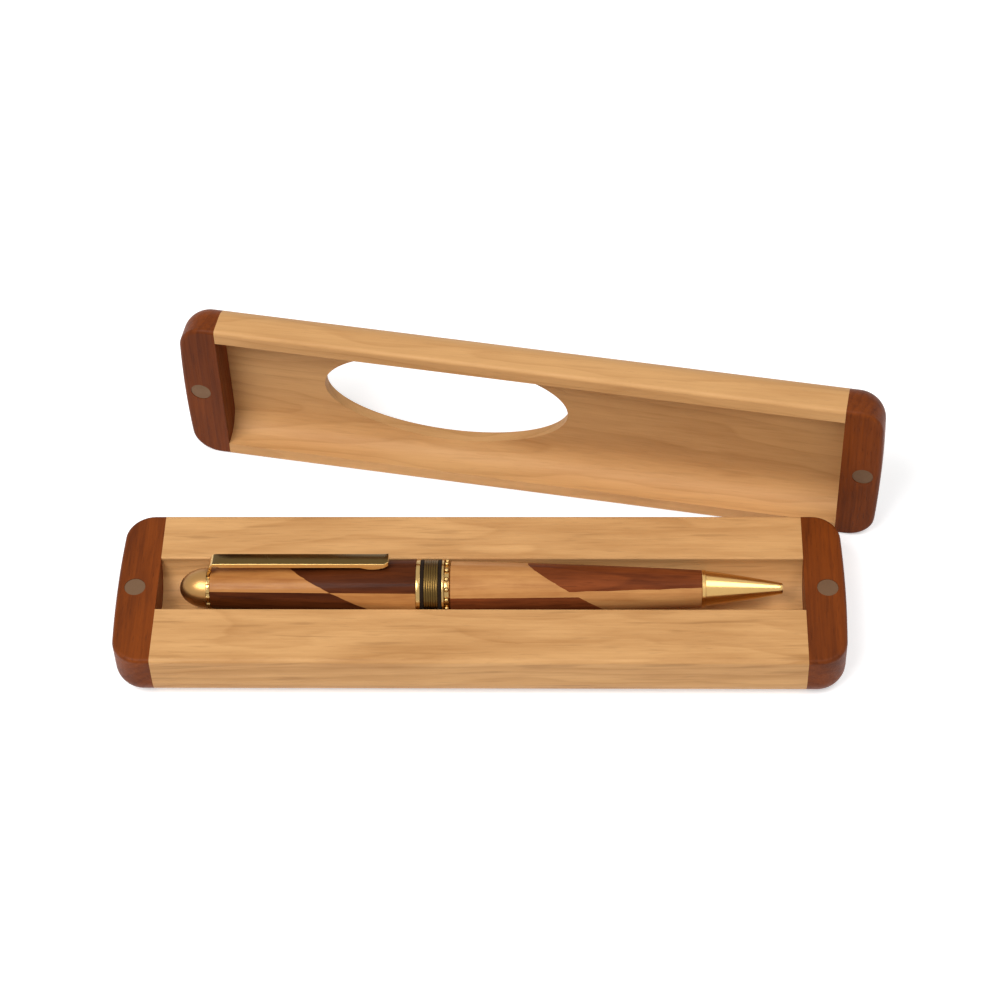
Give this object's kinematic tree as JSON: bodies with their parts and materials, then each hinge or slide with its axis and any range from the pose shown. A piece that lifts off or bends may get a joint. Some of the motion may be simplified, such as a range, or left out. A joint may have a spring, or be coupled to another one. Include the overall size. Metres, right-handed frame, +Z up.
{
  "type": "pen case",
  "caption": "Open lift-off wooden pen case with darker end blocks, a round-bottomed groove, an oval window in the loose lid, and a two-wood twist pen with a sprung clip.",
  "frame": {"origin": "centre of the base's flat underside, on the table", "axes": "+X along the case from the pen's finial to its nib, +Y from the viewer towards the lid, +Z up"},
  "size_m": [0.1853, 0.0895, 0.045],
  "materials": {
    "maple": "satin",
    "rosewood": "satin",
    "pen_maple": "gloss",
    "pen_rosewood": "gloss",
    "gold": "polished",
    "black_inlay": "gloss",
    "magnet": "satin",
    "brass_tube": "satin",
    "plunger": "matte",
    "refill_steel": "satin",
    "refill_brass": "satin"
  },
  "bodies": {
    "base": {"base_body": "maple", "base_end_left": "rosewood", "base_end_right": "rosewood", "base_magnet_left": "magnet", "base_magnet_right": "magnet"},
    "lid": {"lid_body": "maple", "lid_end_left": "rosewood", "lid_end_right": "rosewood", "lid_magnet_left": "magnet", "lid_magnet_right": "magnet"},
    "pen_upper": {"finial": "gold", "clip_ring": "gold", "upper_barrel_maple_rear": "pen_maple", "upper_barrel_rosewood_front": "pen_rosewood", "upper_barrel_rosewood_rear": "pen_rosewood", "upper_barrel_maple_front": "pen_maple", "upper_tube": "brass_tube", "centre_band": "gold", "band_inlay_left": "black_inlay", "band_inlay_right": "black_inlay", "beaded_ring": "gold", "twist_collar": "brass_tube"},
    "clip": {"clip": "gold"},
    "pen_lower": {"lower_barrel_maple_rear": "pen_maple", "lower_barrel_rosewood_front": "pen_rosewood", "lower_barrel_rosewood_rear": "pen_rosewood", "lower_barrel_maple_front": "pen_maple", "lower_tube": "brass_tube", "twist_body": "brass_tube", "nib": "gold"},
    "refill": {"twist_plunger": "plunger", "refill_tube": "refill_steel", "refill_tip": "refill_brass"}
  },
  "joints": [
    {"name": "lid_lift", "type": "slide", "parent": "base", "child": "lid", "axis": [0, 0, 1], "range_m": [0, 0.06]},
    {"name": "pen_lift", "type": "slide", "parent": "base", "child": "pen_upper", "axis": [0, 0, 1], "range_m": [0, 0.04]},
    {"name": "pen_twist", "type": "hinge", "parent": "pen_upper", "child": "pen_lower", "pos_m": [0, 0.0008, 0.01305], "axis": [1, 0, 0], "range_deg": [0, 180]},
    {"name": "refill_feed", "type": "slide", "parent": "pen_lower", "child": "refill", "axis": [1, 0, 0], "range_m": [0, 0.0025]},
    {"name": "clip_flex", "type": "hinge", "parent": "pen_upper", "child": "clip", "pos_m": [-0.06525, 0.00186, 0.01732], "axis": [0, -0.9703, -0.2419], "range_deg": [0, 4], "stiffness_Nm_per_rad": 1.5}
  ],
  "couplings": [
    {"joint": "refill_feed", "follows": "pen_twist", "m_per_rad": 0.00079577}
  ]
}
